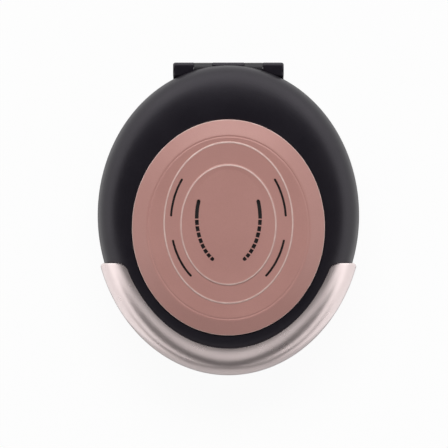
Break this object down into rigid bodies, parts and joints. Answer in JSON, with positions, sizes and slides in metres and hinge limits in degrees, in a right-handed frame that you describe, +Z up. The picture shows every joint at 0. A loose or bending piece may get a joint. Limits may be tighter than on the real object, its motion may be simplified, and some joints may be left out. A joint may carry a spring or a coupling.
{
  "type": "electric krumkake iron",
  "caption": "Hinged oval cooker with round engraved baking plates, a stepped vented lid panel and a crescent handle on each half.",
  "frame": {"origin": "centre of the footprint's bounding box, on the surface that the feet stand on", "axes": "+Z up, +Y to the rear where the hinge is, -Y to the front where the handles are, +X to the right seen from above with the hinge at the top"},
  "size_m": [0.23, 0.275, 0.0939],
  "materials": {
    "black_plastic": "satin, fine-grained near-black heat-resistant plastic",
    "rose_metal": "satin rose-gold lacquer on pressed sheet",
    "silver_rose": "satin metallic lacquer, silver with a rose tint",
    "cast_plate": "cast aluminium with dark non-stick coating",
    "screw_steel": "zinc-plated steel",
    "bracket_steel": "black powder-coated steel",
    "element_steel": "dull sheathed tube",
    "shield_steel": "pressed aluminised steel sheet",
    "ceramic": "unglazed white ceramic",
    "grille_plastic": "matt dark plastic",
    "rubber": "matt black rubber"
  },
  "bodies": {
    "base": {"base_shell": "black_plastic", "bottom_cover": "black_plastic", "rubber_feet": "rubber", "bottom_screws": "screw_steel", "hinge_block": "black_plastic", "hinge_pin": "screw_steel", "hinge_caps": "black_plastic", "lower_handle": "silver_rose", "lower_handle_screws": "screw_steel", "lower_plate": "cast_plate", "lower_plate_screws": "screw_steel", "lower_element": "element_steel", "lower_heat_shield": "shield_steel", "lower_shield_screws": "screw_steel", "thermostat": "ceramic", "thermal_fuse": "ceramic", "terminal_block": "ceramic", "cord_gland": "rubber", "cord_clamp": "black_plastic", "cord_clamp_screws": "screw_steel"},
    "lid": {"lid_shell": "black_plastic", "top_panel": "rose_metal", "panel_screws": "screw_steel", "vent_grille": "grille_plastic", "lid_bezel": "black_plastic", "bezel_screws": "screw_steel", "lid_hinge_bracket": "bracket_steel", "bracket_screws": "screw_steel", "upper_handle": "silver_rose", "upper_handle_screws": "screw_steel", "upper_plate": "cast_plate", "upper_plate_screws": "screw_steel", "upper_element": "element_steel", "upper_heat_shield": "shield_steel", "upper_shield_screws": "screw_steel"}
  },
  "joints": [
    {"name": "lid_hinge", "type": "hinge", "parent": "base", "child": "lid", "pos_m": [0, 0.131, 0.05], "axis": [-1, 0, 0], "range_deg": [0, 100]}
  ]
}
